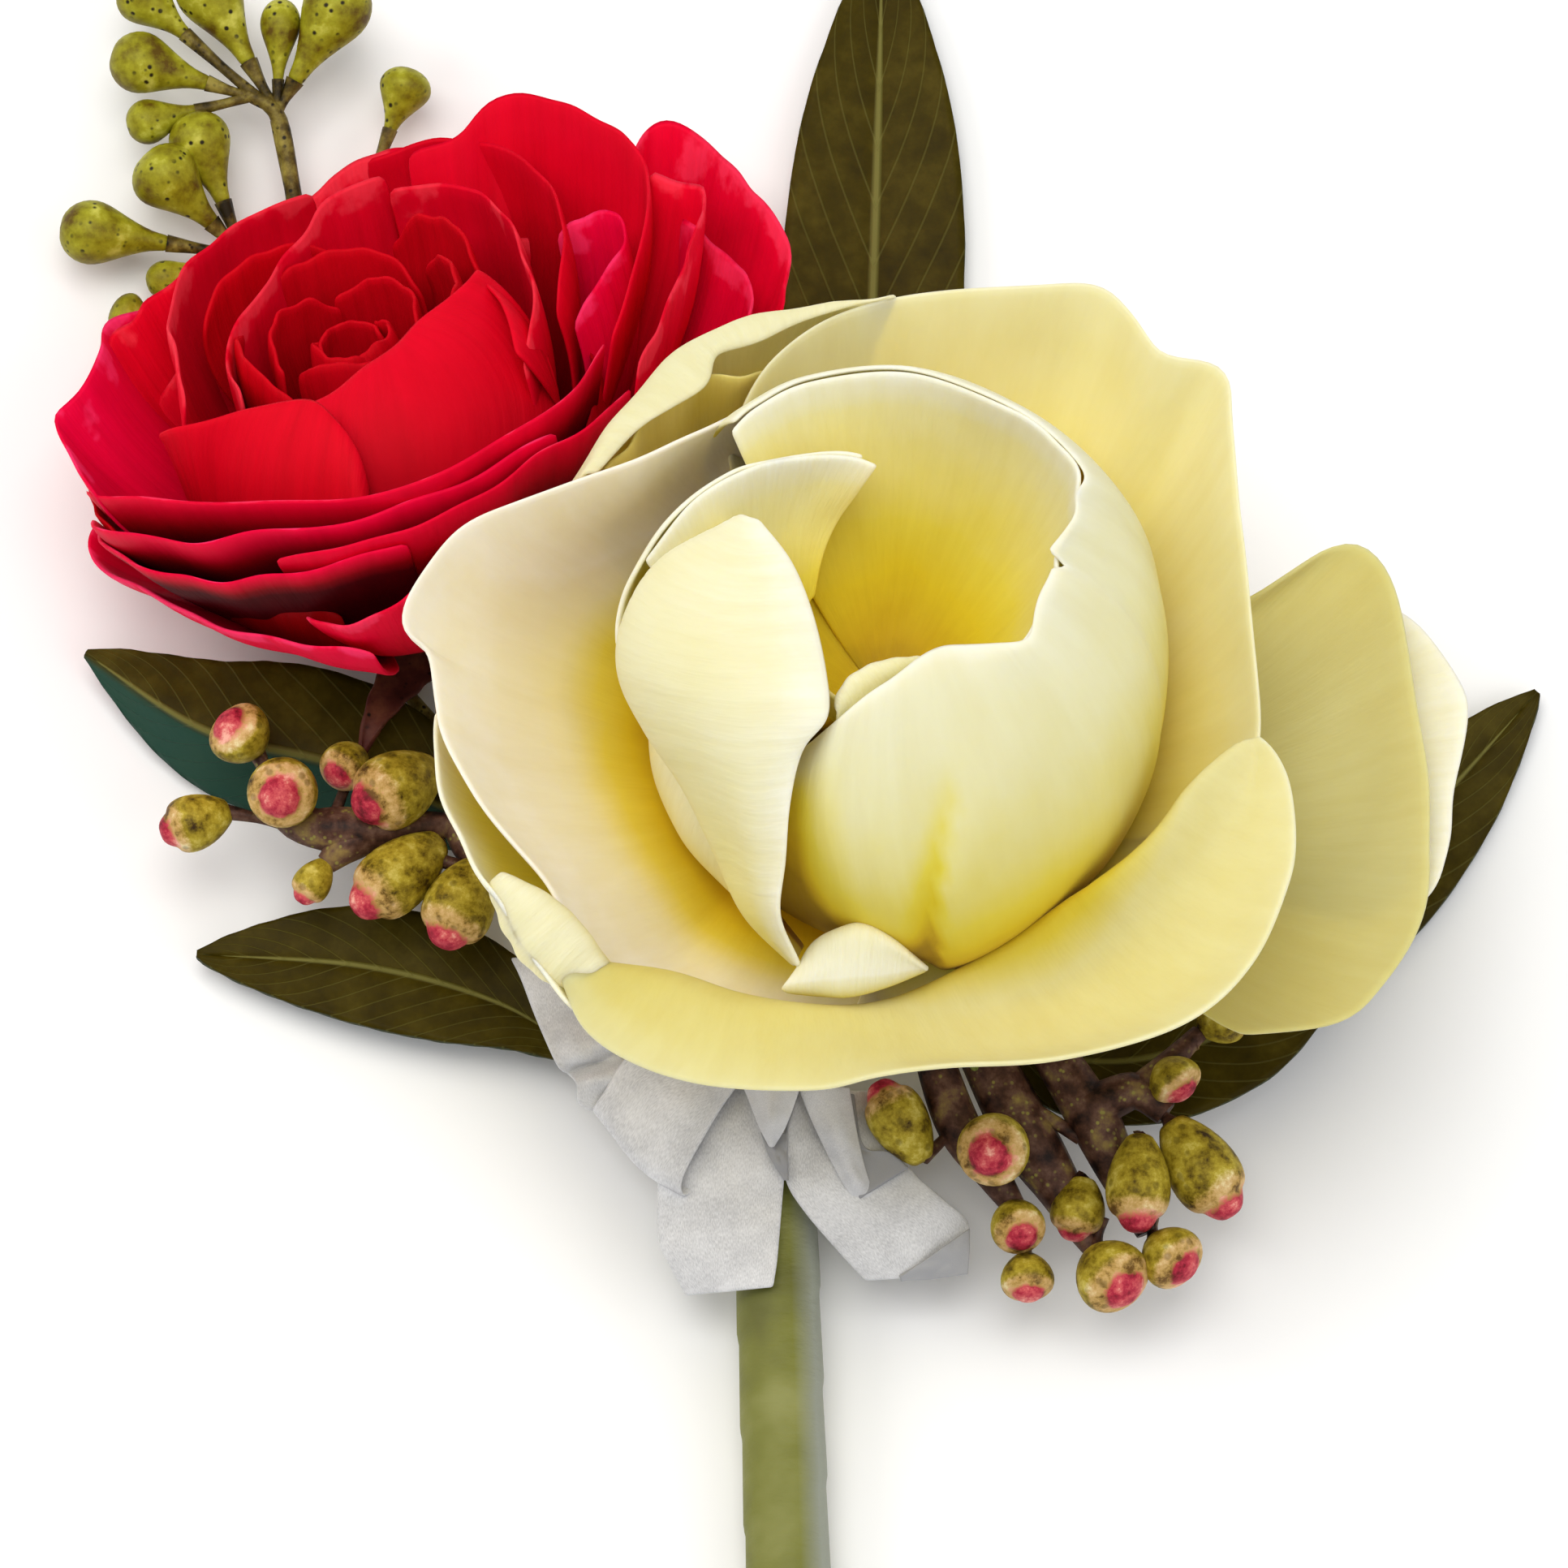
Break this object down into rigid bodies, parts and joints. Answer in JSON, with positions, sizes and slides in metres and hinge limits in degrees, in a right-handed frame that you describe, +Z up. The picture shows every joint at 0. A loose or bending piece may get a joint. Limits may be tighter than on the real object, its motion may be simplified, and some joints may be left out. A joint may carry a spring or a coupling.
{
  "type": "boutonniere",
  "caption": "Lapel flower of an open cream rose and a smaller red rose with leaves and budding sprigs, its stems taped together and tied with a satin ribbon bow.",
  "frame": {"origin": "middle of the bounding box's bottom, on the surface that the boutonniere lies on", "axes": "+Y runs from the cut end of the taped stem to the tip of the top leaf, +X is to the viewer's right with the blooms facing the viewer, +Z is up out of the blooms"},
  "size_m": [0.1164, 0.1448, 0.0542],
  "materials": {
    "cream_petal": "satin",
    "red_petal": "satin",
    "calyx_green": "matte",
    "calyx_brown": "matte",
    "leaf_olive": "satin",
    "bud_green": "satin",
    "bud_pink": "satin",
    "floral_tape": "matte",
    "satin_ribbon": "satin"
  },
  "bodies": {
    "root": {"cream_bloom": "cream_petal", "cream_calyx": "calyx_green", "red_bloom": "red_petal", "red_calyx": "calyx_brown", "leaf_top": "leaf_olive", "leaf_left_upper": "leaf_olive", "leaf_left_lower": "leaf_olive", "leaf_right": "leaf_olive", "leaf_lower_right": "leaf_olive", "sprig_upper": "bud_green", "sprig_lower_left": "bud_pink", "sprig_lower_right": "bud_pink", "stem_tape": "floral_tape", "ribbon_bow": "satin_ribbon"}
  },
  "joints": []
}
